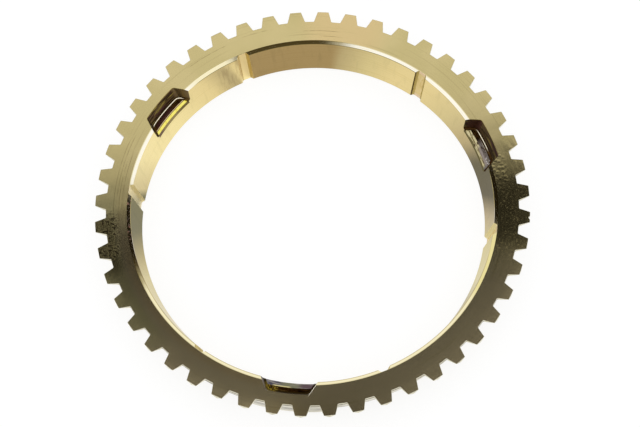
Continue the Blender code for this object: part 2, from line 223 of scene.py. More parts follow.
def join(tree, node, sockets):
    """Gives each input its value, or the output that feeds it."""
    for key, value in sockets.items():
        if isinstance(value, bpy.types.NodeSocket):
            tree.links.new(value, node.inputs[key])
        else:
            node.inputs[key].default_value = value


def add(tree, kind, sockets=None, stops=(), **settings):
    """Adds a node. sockets gives each input a value, or the output that feeds it, and stops are the
    places and colours of a ramp."""
    node = tree.nodes.new(kind)
    for name, value in settings.items():
        setattr(node, name, value)
    for _ in stops[2:]:
        node.color_ramp.elements.new(1.0)
    for number, (position, colour) in enumerate(stops):
        node.color_ramp.elements[number].position = position
        node.color_ramp.elements[number].color = colour
    join(tree, node, sockets or {})
    return node


def grey(level):
    return (level, level, level, 1.0)


def add_face(bm, points, finish):
    face = bm.faces.new(points)
    face[bm.faces.layers.int["finish"]] = finish
    return face


def new_bmesh():
    bm = bmesh.new()
    bm.faces.layers.int.new("finish")
    return bm


def make_object(name, bm, collection=None):
    mesh = bpy.data.meshes.new(name)
    bm.to_mesh(mesh)
    bm.free()
    obj = bpy.data.objects.new(name, mesh)
    (collection or bpy.context.scene.collection).objects.link(obj)
    return obj


class ToothForm:
    """Outline and pointing of one tooth, with the tooth's centre line along angle 0."""

    def __init__(self):
        gap_half_angle = math.asin(ROOT_GAP / 2 / ROOT_RADIUS)
        self.root_angle = PITCH / 2 - gap_half_angle
        self.root_corner = plan_point(ROOT_RADIUS, self.root_angle)
        self.flank = Vector((math.cos(FLANK_ANGLE), -math.sin(FLANK_ANGLE)))
        along = self.root_corner.dot(self.flank)
        missing = TIP_RADIUS ** 2 - self.root_corner.length_squared
        tip_corner = self.root_corner + self.flank * (math.sqrt(along ** 2 + missing) - along)
        self.tip_angle = math.atan2(tip_corner.y, tip_corner.x)
        self.ridge_at_tip = TIP_LAND + tip_corner.y / math.tan(ROOF_ANGLE)
        self.ridge_line_start = tip_corner.x
        self.root_land = self.roof_depth(self.root_corner.x, self.root_corner.y)
        self.back_land = self.roof_at(BODY_RADIUS, self.tip_angle)

    def roof_depth(self, along, across):
        """Depth of the pointing faces at a distance along and across the tooth's centre line."""
        ridge = self.ridge_at_tip + (self.ridge_line_start - along) * math.tan(RIDGE_SLOPE)
        return ridge - abs(across) / math.tan(ROOF_ANGLE)

    def roof_at(self, radius, angle):
        return self.roof_depth(radius * math.cos(angle), radius * math.sin(angle))

    def half_outline(self):
        """(angle, radius, depth of the lower edge) from the tooth's centre line to mid gap."""
        points = []
        for step in range(TIP_STEPS + 1):
            angle = self.tip_angle * step / TIP_STEPS
            points.append((angle, TIP_RADIUS, self.roof_at(TIP_RADIUS, angle)))
        points.extend(self.root_fillet())
        points.append((PITCH / 2, ROOT_RADIUS, self.root_land))
        return points

    def root_fillet(self):
        tangent = Vector((-math.sin(self.root_angle), math.cos(self.root_angle)))
        turn = math.acos(max(-1.0, min(1.0, -self.flank.dot(tangent))))
        reach = ROOT_FILLET * math.tan(turn / 2)
        start = self.root_corner + self.flank * reach
        end_angle = self.root_angle + reach / ROOT_RADIUS
        end = plan_point(ROOT_RADIUS, end_angle)
        start_depth = self.roof_depth(start.x, start.y)
        arc = []
        for step in range(FILLET_STEPS + 1):
            share = step / FILLET_STEPS
            onward = self.root_corner.lerp(end, share)
            point = start.lerp(self.root_corner, share).lerp(onward, share)
            depth = start_depth + (self.root_land - start_depth) * share
            arc.append((math.atan2(point.y, point.x), point.length, depth))
        return arc


def bore_section():
    """(radius, depth, finish of the face that follows) from the face, down the cone, to the rim."""
    return [
        (BORE_EDGE_RADIUS, 0.0, BORE_CHAMFER),
        (CONE_MOUTH_RADIUS, BORE_CHAMFER_DEPTH, CONE),
        (cone_radius(RING_DEPTH - RIM_CHAMFER), RING_DEPTH - RIM_CHAMFER, HUB_SIDE),
        (cone_radius(RING_DEPTH) + RIM_CHAMFER, RING_DEPTH, HUB_SIDE),
        (SKIRT_RADIUS, RING_DEPTH, HUB_SIDE),
    ]


def lug_section():
    return [
        (BODY_RADIUS - LUG_CHAMFER, RING_DEPTH, HUB_SIDE),
        (BODY_RADIUS, RING_DEPTH - LUG_CHAMFER, BODY),
    ]


def shoulder_section():
    points = []
    for step in range(FILLET_STEPS + 1):
        turn = math.pi / 2 * step / FILLET_STEPS
        radius = SKIRT_RADIUS + SHOULDER_FILLET * (1 - math.cos(turn))
        points.append((radius, SHOULDER_DEPTH + SHOULDER_FILLET * (1 - math.sin(turn)), HUB_SIDE))
    points.append((BODY_RADIUS - SHOULDER_CHAMFER, SHOULDER_DEPTH, HUB_SIDE))
    return points


class Column:
    """Points of the section at one angle. At the side of a lug it has both middle parts."""

    def __init__(self, bm, angle, body_top_depth, on_lug, on_shoulder):
        def points(section):
            return [(bm.verts.new(polar(radius, angle, depth)), finish)
                    for radius, depth, finish in section]

        self.bore = points(bore_section())
        self.lug = points(lug_section()) if on_lug else []
        self.shoulder = points(shoulder_section()) if on_shoulder else []
        self.body = points([(BODY_RADIUS, SHOULDER_DEPTH - SHOULDER_CHAMFER, BODY),
                            (BODY_RADIUS, body_top_depth, BODY)])


def join_strip(bm, left, right):
    for row in range(len(left) - 1):
        finish = left[row][1]
        corners = (left[row][0], left[row + 1][0], right[row + 1][0], right[row][0])
        add_face(bm, corners, finish)


def build_sector(lug_before, lug_after):
    """One tooth with its share of the ring, from mid gap to mid gap, with a lug on either, both or
    neither side of the tooth's centre line."""
    tooth = ToothForm()
    bm = new_bmesh()
    half_offsets = [0.0, tooth.tip_angle / 2, tooth.tip_angle, tooth.root_angle, PITCH / 2]
    offsets = [-offset for offset in half_offsets[:0:-1]] + half_offsets
    middle = len(half_offsets) - 1
    columns = []
    for index, offset in enumerate(offsets):
        back = tooth.back_land
        if abs(offset) < tooth.tip_angle:
            back = tooth.roof_at(BODY_RADIUS, abs(offset))
        beside = [lug_before] * (index <= middle) + [lug_after] * (index >= middle)
        columns.append(Column(bm, offset, back, any(beside), not all(beside)))
    for index in range(len(columns) - 1):
        left, right = columns[index], columns[index + 1]
        with_lug = lug_before if index < middle else lug_after
        outer = [(side.lug if with_lug else side.shoulder) for side in (left, right)]
        join_strip(bm, left.bore + outer[0] + left.body, right.bore + outer[1] + right.body)
    if lug_before != lug_after:
        side = columns[middle]
        step = [side.bore[-1], *side.shoulder, side.body[0], *side.lug[::-1]]
        add_face(bm, [vert for vert, _ in step], HUB_SIDE)
    add_tooth(bm, tooth, columns)
    close_up(bm)
    top = max(bm.faces, key=lambda face: face.calc_center_median().z)
    if top.normal.z < 0:
        bmesh.ops.reverse_faces(bm, faces=bm.faces)
    return bm


def add_tooth(bm, tooth, columns):
    """Face, flanks, lands and pointing faces of the tooth, joined to the columns."""
    half = tooth.half_outline()
    outline = [(-angle, radius, depth) for angle, radius, depth in reversed(half[1:])] + half
    upper = [bm.verts.new(polar(radius, angle, 0.0)) for angle, radius, _ in outline]
    lower = [bm.verts.new(polar(radius, angle, depth)) for angle, radius, depth in outline]
    bore_edge = [column.bore[0][0] for column in columns]
    body_top = [column.body[-1][0] for column in columns]
    add_face(bm, upper + bore_edge[::-1], TURNED_FACE)
    for left in range(len(upper) - 1):
        add_face(bm, (upper[left], upper[left + 1], lower[left + 1], lower[left]), TOOTH_SIDE)
    middle = len(half) - 1
    ridge = len(columns) // 2
    for edge, foot in ((lower[middle:], body_top[ridge:]),
                       (lower[middle::-1], body_top[ridge::-1])):
        ridge_foot, half_tip_column, tip_column, root_column, gap_column = foot
        tip = edge[:TIP_STEPS + 1]
        fillet = edge[TIP_STEPS + 1:-1]
        add_face(bm, tip + [fillet[0], tip_column, half_tip_column, ridge_foot], TOOTH_SIDE)
        for near, far in zip(fillet, fillet[1:]):
            add_face(bm, (near, far, tip_column), TOOTH_SIDE)
        add_face(bm, (fillet[-1], root_column, tip_column), TOOTH_SIDE)
        add_face(bm, (fillet[-1], edge[-1], gap_column, root_column), TOOTH_SIDE)


def loft(bm, sections, finish, end_finishes=None):
    """Closed solid through a list of point loops, each with the same number of points. finish
    gives the number for each side face, and end_finishes those for the ends."""
    loops = [[bm.verts.new(point) for point in section] for section in sections]
    for number, (lower, upper) in enumerate(zip(loops, loops[1:])):
        for index in range(len(lower)):
            after = (index + 1) % len(lower)
            corners = (lower[index], lower[after], upper[after], upper[index])
            add_face(bm, corners, finish(number, index))
    first, last = end_finishes or (finish(0, 0), finish(0, 0))
    add_face(bm, loops[0], first)
    add_face(bm, loops[-1], last)
    return loops


def at_depth(points, depth):
    """Plan points at a depth under the face."""
    return [Vector((x, y, RING_DEPTH - depth)) for x, y in points]


def close_up(bm):
    """Splits faces that aren't flat, and points all of them outwards."""
    bmesh.ops.connect_verts_nonplanar(bm, angle_limit=FLAT_ENOUGH, faces=bm.faces)
    bmesh.ops.recalc_face_normals(bm, faces=bm.faces)
    return bm


def pocket_side_distance():
    """Distance from the axis to the plane of a pocket's side wall, on the face."""
    outer = BODY_RADIUS - POCKET_OUTER_WALL
    return outer * math.sin(math.asin(POCKET_WIDTH / 2 / outer) + POCKET_SIDE_FLARE)


def pocket_outline(depth, inset, corner_radius):
    """Plan points of a pocket at a depth, from one inner end round to the other."""
    outer = BODY_RADIUS - POCKET_OUTER_WALL - depth * math.tan(POCKET_WALL_DRAFT) - inset
    side = pocket_side_distance() - depth * math.tan(POCKET_SIDE_DRAFT) - inset
    centre_radius = outer - corner_radius
    centre_angle = math.asin((side - corner_radius) / centre_radius) - POCKET_SIDE_FLARE
    centre = plan_point(centre_radius, centre_angle)
    inner = cone_radius(RING_DEPTH)
    inner_side = (side - inner * math.sin(POCKET_SIDE_FLARE)) / math.cos(POCKET_SIDE_FLARE)
    half = [Vector((inner, inner_side))]
    side_facing = math.pi / 2 - POCKET_SIDE_FLARE
    for step in range(POCKET_CORNER_STEPS + 1):
        facing = side_facing + (centre_angle - side_facing) * step / POCKET_CORNER_STEPS
        half.append(centre + plan_point(corner_radius, facing))
    points = list(half)
    for step in range(1, POCKET_ARC_STEPS):
        angle = centre_angle * (1 - 2 * step / POCKET_ARC_STEPS)
        points.append(plan_point(outer, angle))
    points.extend(Vector((point.x, -point.y)) for point in reversed(half))
    return points


def build_pocket_cutter():
    bm = new_bmesh()
    levels = [(-CUT_CLEARANCE, 0.0, POCKET_TOP_CORNER),
              (POCKET_DEPTH - POCKET_FILLET, 0.0, POCKET_FOOT_CORNER)]
    for step in range(1, FILLET_STEPS + 1):
        turn = math.pi / 2 * step / FILLET_STEPS
        depth = POCKET_DEPTH - POCKET_FILLET * (1 - math.sin(turn))
        levels.append((depth, POCKET_FILLET * (1 - math.cos(turn)), POCKET_FOOT_CORNER))
    sections = []
    for depth, inset, corner_radius in levels:
        sections.append(at_depth(pocket_outline(depth, inset, corner_radius), depth))
    loft(bm, sections, lambda level, side: POCKET_FOOT if level else POCKET_WALL,
         (POCKET_WALL, POCKET_FLOOR))
    return close_up(bm)


def build_lip_cutter():
    """Thin wedge that lets a pocket's floor fall towards the cone."""
    bm = new_bmesh()
    slope = math.tan(POCKET_LIP_SLOPE)
    lip_radius = CONE_MOUTH_RADIUS + POCKET_LIP_START
    inner_radius = cone_radius(RING_DEPTH)
    above = POCKET_DEPTH - POCKET_FILLET * slope
    wedge = [(lip_radius + POCKET_FILLET, above),
             (inner_radius, POCKET_DEPTH + (lip_radius - inner_radius) * slope),
             (inner_radius, above)]
    side = pocket_side_distance() - POCKET_DEPTH * math.tan(POCKET_SIDE_DRAFT) - POCKET_FILLET
    sections = []
    for step in range(POCKET_ARC_STEPS + 1):
        share = 2 * step / POCKET_ARC_STEPS - 1
        section = []
        for radius, depth in wedge:
            half_angle = math.asin(side / radius) - POCKET_SIDE_FLARE
            section.append(polar(radius, half_angle * share, depth))
        sections.append(section)
    loft(bm, sections, lambda number, side: POCKET_LIP)
    return close_up(bm)


def build_groove_cutter():
    """Bar with a flat, round-cornered crest, laid along the cone."""
    bm = new_bmesh()
    half_floor = GROOVE_FLOOR_WIDTH / 2
    reach = GROOVE_DEPTH + CUT_CLEARANCE
    half_mouth = half_floor + reach * math.tan(GROOVE_FLARE)
    sections = []
    for depth in (-CUT_CLEARANCE, RING_DEPTH + CUT_CLEARANCE):
        floor = cone_radius(depth) + GROOVE_DEPTH
        corners = [(floor, half_floor), (floor, -half_floor),
                   (floor - reach, -half_mouth), (floor - reach, half_mouth)]
        sections.append(at_depth(corners, depth))
    loops = loft(bm, sections, lambda number, side: GROOVE_WALL)
    edges = [bm.edges.get((loops[0][corner], loops[1][corner])) for corner in (0, 1)]
    bmesh.ops.bevel(bm, geom=edges, offset=GROOVE_FILLET, offset_type="OFFSET",
                    segments=GROOVE_FILLET_STEPS, profile=0.5, affect="EDGES", clamp_overlap=True)
    close_up(bm)
    for face in bm.faces:
        if face.normal.x > GROOVE_FLOOR_FACING:
            face[bm.faces.layers.int["finish"]] = GROOVE_FLOOR
    return bm


def build_nick_cutter():
    """Three-sided bar that takes the nick out of a tooth's tip."""
    bm = new_bmesh()
    outside = TIP_RADIUS + CUT_CLEARANCE
    half_outside = (NICK_DEPTH + CUT_CLEARANCE) * NICK_WIDTH / 2 / NICK_DEPTH
    corners = [(TIP_RADIUS - NICK_DEPTH, NICK_OFFSET), (outside, NICK_OFFSET + half_outside),
               (outside, NICK_OFFSET - half_outside)]
    sections = [at_depth(corners, depth) for depth in (-CUT_CLEARANCE, SHOULDER_DEPTH)]
    loft(bm, sections, lambda number, side: TOOTH_SIDE)
    return close_up(bm)


INTEGER_A, INTEGER_B = 2, 3                 # the compare node's sockets for whole numbers
COLOUR_A, COLOUR_B, COLOUR_MIXED = 6, 7, 2  # the mix node's sockets for colours


def new_tree(name, inputs):
    """Geometry Nodes tree with named inputs of the kinds given, and the sockets that give them."""
    tree = bpy.data.node_groups.new(name, "GeometryNodeTree")
    for input_name, kind in inputs.items():
        tree.interface.new_socket(input_name, in_out="INPUT", socket_type=f"NodeSocket{kind}")
    tree.interface.new_socket("Geometry", in_out="OUTPUT", socket_type="NodeSocketGeometry")
    return tree, add(tree, "NodeGroupInput").outputs


def set_round_axis(tree, given, finishes, instance):
    """Sets copies evenly round the axis from the first angle on, makes them real, welds them and
    gives each finish its material."""
    index = add(tree, "GeometryNodeInputIndex").outputs[0]
    step = add(tree, "ShaderNodeMath", {0: 2 * math.pi, 1: given["Copies"]}, operation="DIVIDE")
    angle = add(tree, "ShaderNodeMath", {0: index, 1: step.outputs[0], 2: given["First Angle"]},
                operation="MULTIPLY_ADD")
    turn = add(tree, "ShaderNodeCombineXYZ", {"Z": angle.outputs[0]}).outputs[0]
    points = add(tree, "GeometryNodePoints", {"Count": given["Copies"]}).outputs[0]
    copies = add(tree, "GeometryNodeInstanceOnPoints",
                 {"Points": points, "Rotation": turn, **instance}).outputs[0]
    real = add(tree, "GeometryNodeRealizeInstances", {"Geometry": copies}).outputs[0]
    shape = add(tree, "GeometryNodeMergeByDistance",
                {"Geometry": real, "Distance": WELD_DISTANCE}).outputs[0]
    finish = add(tree, "GeometryNodeInputNamedAttribute", {"Name": "finish"}, data_type="INT")
    for number, material in enumerate(finishes):
        chosen = add(tree, "FunctionNodeCompare", {INTEGER_A: finish.outputs[0], INTEGER_B: number},
                     data_type="INT", operation="EQUAL").outputs[0]
        shape = add(tree, "GeometryNodeSetMaterial",
                    {"Geometry": shape, "Selection": chosen, "Material": material}).outputs[0]
    add(tree, "NodeGroupOutput", {"Geometry": shape})
    return tree


def ring_tree(finishes):
    """Sectors set round the axis: those from a lug's start on, in the order of their names, and the
    last of them again up to the next lug."""
    tree, given = new_tree("toothed_ring", {
        "Geometry": "Geometry", "Sectors": "Collection", "Teeth per Lug": "Int",
        "First Lug Tooth": "Int", "Copies": "Int", "First Angle": "Float"})
    index = add(tree, "GeometryNodeInputIndex").outputs[0]
    past_lug = add(tree, "ShaderNodeMath", {0: index, 1: given["First Lug Tooth"]},
                   operation="SUBTRACT").outputs[0]
    place = add(tree, "ShaderNodeMath", {0: past_lug, 1: given["Teeth per Lug"]},
                operation="FLOORED_MODULO").outputs[0]
    sector = add(tree, "ShaderNodeMath", {0: place, 1: LUG_PITCHES + 1.0},
                 operation="MINIMUM").outputs[0]
    sectors = add(tree, "GeometryNodeCollectionInfo", {
        "Collection": given["Sectors"], "Separate Children": True, "Reset Children": True})
    return set_round_axis(tree, given, finishes, {
        "Instance": sectors.outputs[0], "Pick Instance": True, "Instance Index": sector})


def copies_tree(finishes):
    """Copies of one shape round the axis."""
    tree, given = new_tree("copies_round_axis",
                           {"Geometry": "Geometry", "Copies": "Int", "First Angle": "Float"})
    return set_round_axis(tree, given, finishes, {"Instance": given["Geometry"]})


def modify(obj, name, kind, **settings):
    """Adds a modifier with its settings."""
    modifier = obj.modifiers.new(name, kind)
    for setting, value in settings.items():
        setattr(modifier, setting, value)
    return modifier


def use_tree(obj, tree, values):
    """Adds a Geometry Nodes modifier and sets its inputs by their sockets' identifiers."""
    modifier = modify(obj, tree.name, "NODES", node_group=tree)
    for socket in tree.interface.items_tree:
        if socket.item_type == "SOCKET" and socket.in_out == "INPUT" and socket.name in values:
            modifier[socket.identifier] = values[socket.name]


def build_ring(finishes):
    """The fine ring as one plain mesh, with the pockets, grooves and nick cut."""
    sectors = bpy.data.collections.new("sectors")
    order = [(False, True)] + [(True, True)] * (LUG_PITCHES - 1) + [(True, False), (False, False)]
    helpers = [make_object(f"sector_{number}", build_sector(*lugs), sectors)
               for number, lugs in enumerate(order)]
    ring = make_object("brass_synchronizer_ring", new_bmesh())
    use_tree(ring, ring_tree(finishes), {
        "Sectors": sectors, "Teeth per Lug": TEETH_PER_LUG, "First Lug Tooth": FIRST_LUG_TOOTH,
        "Copies": TOOTH_COUNT, "First Angle": FIRST_TOOTH_ANGLE})
    modify(ring, "edge_break", "BEVEL", width=EDGE_BREAK, segments=1, limit_method="ANGLE",
           angle_limit=CREASE_ANGLE)
    copies = copies_tree(finishes)
    cutters = [
        ("pocket_cutter", build_pocket_cutter(), LUG_COUNT, FIRST_POCKET_ANGLE),
        ("lip_cutter", build_lip_cutter(), LUG_COUNT, FIRST_POCKET_ANGLE),
        ("groove_cutter", build_groove_cutter(), GROOVE_COUNT, FIRST_GROOVE_ANGLE),
        ("nick_cutter", build_nick_cutter(), 1, FIRST_TOOTH_ANGLE),
    ]
    for name, shape, count, first_angle in cutters:
        cutter = make_object(name, shape)
        use_tree(cutter, copies, {"Copies": count, "First Angle": first_angle})
        cutter.hide_render = True
        modify(ring, name, "BOOLEAN", operation="DIFFERENCE", solver="EXACT",
               material_mode="TRANSFER", object=cutter)
        helpers.append(cutter)
    depsgraph = bpy.context.evaluated_depsgraph_get()
    finished = bpy.data.meshes.new_from_object(ring.evaluated_get(depsgraph))
    welded = bmesh.new()
    welded.from_mesh(finished)
    bmesh.ops.remove_doubles(welded, verts=welded.verts, dist=WELD_DISTANCE)
    welded.to_mesh(finished)
    welded.free()
    finished.materials.pop(index=0)   # the empty slot of the mesh that the modifiers started from
    ring.modifiers.clear()
    ring.data = finished
    for helper in helpers:
        bpy.data.objects.remove(helper, do_unlink=True)
    bpy.data.collections.remove(sectors)
    finished.shade_smooth()
    finished.set_sharp_from_angle(angle=SHARP_ANGLE)
    return ring


def linear(hex_colour):
    """sRGB hex to a linear colour."""
    channels = [int(hex_colour[at:at + 2], 16) / 255 for at in (1, 3, 5)]
    return tuple(c / 12.92 if c <= 0.04045 else ((c + 0.055) / 1.055) ** 2.4
                 for c in channels) + (1.0,)


def direction(angle):
    """Level direction at an angle in degrees."""
    return (math.cos(math.radians(angle)), math.sin(math.radians(angle)), 0.0)


class Brass:
    """A brass surface in the making: its material, its colour, roughness and relief so far, and
    where its points lie on the ring.

    Sizes given to its methods are in millimetres, and angles round the ring in degrees. Colours
    are sRGB hex, or outputs of other nodes.
    """

    def __init__(self, name, roughness, colour):
        self.material = bpy.data.materials.new(name)
        self.material.use_nodes = True
        self.tree = self.material.node_tree
        self.colour = colour
        self.roughness = roughness
        self.relief = {}
        self.place = self.add("ShaderNodeTexCoord", output="Object")
        self.height = self.add("ShaderNodeSeparateXYZ", {"Vector": self.place}, "Z")
        flat = self.add("ShaderNodeVectorMath", {0: self.place, 1: (1.0, 1.0, 0.0)},
                        operation="MULTIPLY")
        self.radius = self.add("ShaderNodeVectorMath", {0: flat}, "Value", operation="LENGTH")
        self.heading = self.add("ShaderNodeVectorMath", {0: flat}, operation="NORMALIZE")

    def add(self, kind, sockets=None, output=0, **settings):
        """Adds a node and gives one of its outputs."""
        return add(self.tree, kind, sockets, **settings).outputs[output]

    def grain(self, size, detail=2.0):
        """Cloudy noise, with clouds of a size. More detail makes them rougher."""
        return self.add("ShaderNodeTexNoise", {"Vector": self.place, "Scale": 1 / (size * MM),
                                               "Detail": detail})

    def rings(self, across, width, length):
        """Streaks drawn out round the axis, as a turning tool leaves them. Real tool marks lie
        about 0.1 mm apart, which is too fine to show, so every width given here draws them
        coarser."""
        along = self.add("ShaderNodeVectorMath",
                         {0: self.heading, "Scale": BODY_RADIUS / (length * MM)},
                         operation="SCALE")
        step = self.add("ShaderNodeMath", {0: across, 1: 1 / (width * MM)}, operation="MULTIPLY")
        lift = self.add("ShaderNodeCombineXYZ", {"Z": step})
        place = self.add("ShaderNodeVectorMath", {0: along, 1: lift})
        return self.add("ShaderNodeTexNoise", {"Vector": place, "Scale": 1.0})

    def uprights(self, width, length=30.0):
        """Streaks that run along the axis. Real honing and broaching marks are too fine to show,
        so they are drawn coarser."""
        across = 1 / (width * MM)
        squeezed = self.add("ShaderNodeMapping", {
            "Vector": self.place, "Scale": (across, across, 1 / (length * MM))})
        return self.add("ShaderNodeTexNoise", {"Vector": squeezed, "Scale": 1.0})

    def mask(self, value, none, full):
        """0 where a value is at none, 1 where it is at full, and smooth between."""
        return self.add("ShaderNodeMapRange", {"Value": value, "From Min": none, "From Max": full},
                        interpolation_type="SMOOTHSTEP")

    def from_radius(self, none, full):
        """0 at one distance from the axis, 1 at another."""
        return self.mask(self.radius, none * MM, full * MM)

    def from_depth(self, none, full):
        """0 at one depth under the face, 1 at another."""
        return self.mask(self.height, RING_DEPTH - none * MM, RING_DEPTH - full * MM)

    def reach(self, vector, angle):
        """How far a vector reaches in a direction."""
        return self.add("ShaderNodeVectorMath", {0: vector, 1: direction(angle)}, "Value",
                        operation="DOT_PRODUCT")

    def around(self, angle, half_width, soft):
        """1 within half_width of an angle round the ring, and 0 from soft further out."""
        return self.mask(self.reach(self.heading, angle),
                         math.cos(math.radians(half_width + soft)),
                         math.cos(math.radians(half_width)))

    def line(self, across, middle, width):
        """1 on a thin line at a distance, 0 beside it."""
        return self.add("ShaderNodeMath", {0: across, 1: middle * MM, 2: width / 2 * MM},
                        operation="COMPARE")

    def edges(self, width):
        """1 at a sharp edge, falling to 0 at a width from it."""
        rounded = self.add("ShaderNodeBevel", {"Radius": width * MM}, samples=EDGE_SAMPLES)
        true = self.add("ShaderNodeNewGeometry", output="Normal")
        alike = self.add("ShaderNodeVectorMath", {0: rounded, 1: true}, "Value",
                         operation="DOT_PRODUCT")
        return self.mask(alike, *EDGE_ALIKE)

    def where_all(self, first, *others):
        for other in others:
            first = self.add("ShaderNodeMath", {0: first, 1: other}, operation="MULTIPLY")
        return first

    def mixed(self, under, over, *masks):
        """A colour over another, as much as all the masks say."""
        under, over = (linear(colour) if isinstance(colour, str) else colour
                       for colour in (under, over))
        return self.add("ShaderNodeMix",
                        {0: self.where_all(*masks), COLOUR_A: under, COLOUR_B: over},
                        COLOUR_MIXED, data_type="RGBA")

    def lay(self, over, *masks):
        """Lays a colour over the surface's own, as much as all the masks say."""
        self.colour = self.mixed(self.colour, over, *masks)

    def roughen(self, pattern, amount):
        """Adds to the roughness, up to an amount where a pattern is 1."""
        self.roughness = self.add("ShaderNodeMath", {0: pattern, 1: amount, 2: self.roughness},
                                  operation="MULTIPLY_ADD")

    def raise_by(self, pattern, distance):
        """Raises the surface, up to a distance where a pattern is 1."""
        self.relief = {"Normal": self.add("ShaderNodeBump", {
            "Height": pattern, "Distance": distance * MM, **self.relief})}

    def finish(self):
        """Gives the shader its colour, roughness and relief, and returns the material."""
        join(self.tree, self.tree.nodes["Principled BSDF"], {
            "Metallic": 1.0, "Base Color": self.colour, "Roughness": self.roughness,
            **self.relief})
        return self.material


def turned_face():
    """High-strength brass, faced on a lathe and polished: a soft mirror with faint rings, with
    painted shade along its sharp edges and in two patches, a painted highlight beside the lower
    pocket, pitted on one side and with a patch of tool chatter on the other."""
    face = Brass("polished_turned_brass", 0.12, "#CDBD88")
    face.lay("#C6B781", face.mask(face.grain(15.0), 0.4, 0.65))
    face.lay("#CEBD93", face.around(270.0, 72.0, 15.0))
    face.lay("#D8BE8A", face.around(87.0, 5.0, 10.0), 0.7)
    turned = face.rings(face.radius, 0.5, 25.0)
    face.lay("#B8A976", face.mask(turned, 0.56, 0.8))
    face.lay("#D0BA8A", face.around(232.0, 24.0, 18.0), face.from_radius(54.0, 52.0))
    face.lay("#C6BB88", face.around(205.0, 14.0, 16.0), face.from_radius(53.0, 55.5))
    # Painted shade over the face at the right, by the right groove
    face.lay("#877C56", face.around(6.0, 6.0, 8.0))
    for middle, angle, half_width in SCRATCHES:
        face.lay("#978758", face.line(face.radius, middle, 0.12),
                 face.around(angle, half_width, 2.0), face.mask(face.grain(1.5), 0.25, 0.6))
    # Painted shade along the face's sharp edges
    face.lay("#7D7048", face.edges(0.22))

    # Painted shade and pits at the left
    face.lay("#7E744E", face.around(197.0, 6.0, 5.0), face.from_radius(53.0, 56.5), 0.75)
    pits = face.where_all(face.mask(face.grain(0.6, 5.0), 0.47, 0.58),
                          face.around(194.5, 4.0, 5.0), face.from_radius(52.5, 55.5))
    face.lay("#574D34", pits)

    # Painted highlight on a thin line beside the lower pocket's side wall
    facing = FIRST_POCKET_ANGLE + 2 * LUG_SPACING + math.pi / 2 - POCKET_SIDE_FLARE
    beside = face.reach(face.place, math.degrees(facing))
    painted_edge_highlight = face.where_all(face.line(beside, pocket_side_distance() / MM + 0.1, 0.13),
                            face.around(277.0, 2.0, 1.0), face.from_radius(55.2, 53.0))
    face.lay("#FFF8E8", painted_edge_highlight)
    # Dull specks, pebbles of chatter and ripples at the right
    specks = face.where_all(face.mask(face.grain(0.35, 2.0), 0.60, 0.72),
                            face.around(5.0, 8.0, 8.0))
    face.roughen(specks, 0.12)
    # The painted highlight is also rougher
    face.roughen(painted_edge_highlight, 0.45)
    cells = face.add("ShaderNodeTexVoronoi", {
        "Vector": face.place, "Scale": 1 / (1.15 * MM), "Randomness": 0.7}, "Distance")
    chatter = face.where_all(face.mask(cells, 0.62, 0.12), face.around(19.0, 3.0, 3.5),
                             face.from_radius(56.0, 54.0))
    ripple = face.where_all(face.rings(face.radius, 0.9, 2.2), face.around(21.0, 5.0, 5.0),
                            face.from_radius(55.5, 57.0))

    for pattern, distance in ((face.grain(7.0, 1.0), 0.03), (turned, 0.002), (chatter, 0.010),
                              (pits, 0.008), (specks, 0.003), (ripple, 0.02)):
        face.raise_by(pattern, distance)
    return face.finish()


def cut_chamfer():
    """Brass chamfer, left bright by the cutting tool and whitened further as a painted highlight:
    nearly white along the light, with painted reflection tones round the ring, painted shade as a
    thin darker line on both sides, and flecked where the tool tore it."""
    # Near-white base colour: the cut brass with its highlight painted in
    edge = Brass("bright_cut_brass", 0.06, "#FFFAEA")
    # Painted reflection tone, dimmer over the lower part of the ring
    edge.lay("#F3E9C0", edge.around(280.0, 68.0, 12.0))
    edge.lay("#F3E8C4", edge.mask(edge.rings(edge.radius, 0.4, 8.0), 0.5, 0.85))
    # Painted shade as a darker line at the outer edge
    edge.lay("#E2D5A4", edge.from_radius(50.9, 51.2))
    # Painted reflection tones at 348 and 127 degrees
    edge.lay("#EADD9C", edge.around(348.0, 8.0, 6.0))
    edge.lay("#FAF0C8", edge.around(127.0, 8.0, 6.0))
    # Painted shade as a darker line at the inner edge, below and along the crease
    edge.lay("#C9B98A", edge.around(280.0, 68.0, 8.0), edge.from_radius(50.5, 50.3))
    edge.lay("#8C7C4A", edge.from_radius(50.32, 50.26), edge.around(*PAINTED_CREASE_SHADE))
    torn = edge.where_all(edge.mask(edge.grain(0.6, 3.0), 0.55, 0.66), edge.around(190.0, 5.0, 5.0))
    edge.lay("#B98A74", torn)
    edge.roughen(torn, 0.16)
    edge.raise_by(edge.grain(2.5), 0.006)
    return edge.finish()


def honed_cone():
    """Brass friction cone, turned and honed: a warm gold mirror with fine rings and a few darker
    streaks along the axis, where the gear's cone has rubbed."""
    cone = Brass("honed_cone_brass", 0.14, "#E3D498")
    cone.lay("#DBCB8C", cone.mask(cone.rings(cone.height, 0.5, 40.0), 0.5, 0.8))
    cone.lay("#DBCD92", cone.mask(cone.uprights(1.6), 0.52, 0.75))
    cone.lay("#D0C088", cone.mask(cone.uprights(0.8), 0.42, 0.7), cone.around(125.0, 2.5, 2.0))
    # Painted shade along the crease at the cone's mouth
    mouth = BORE_CHAMFER_DEPTH / MM
    cone.lay("#8C7C4A", cone.from_depth(mouth + 0.1, mouth + 0.04), cone.around(*PAINTED_CREASE_SHADE))
    cone.raise_by(cone.rings(cone.height, 0.4, 60.0), 0.002)
    cone.raise_by(cone.grain(9.0, 1.0), 0.02)
    return cone.finish()


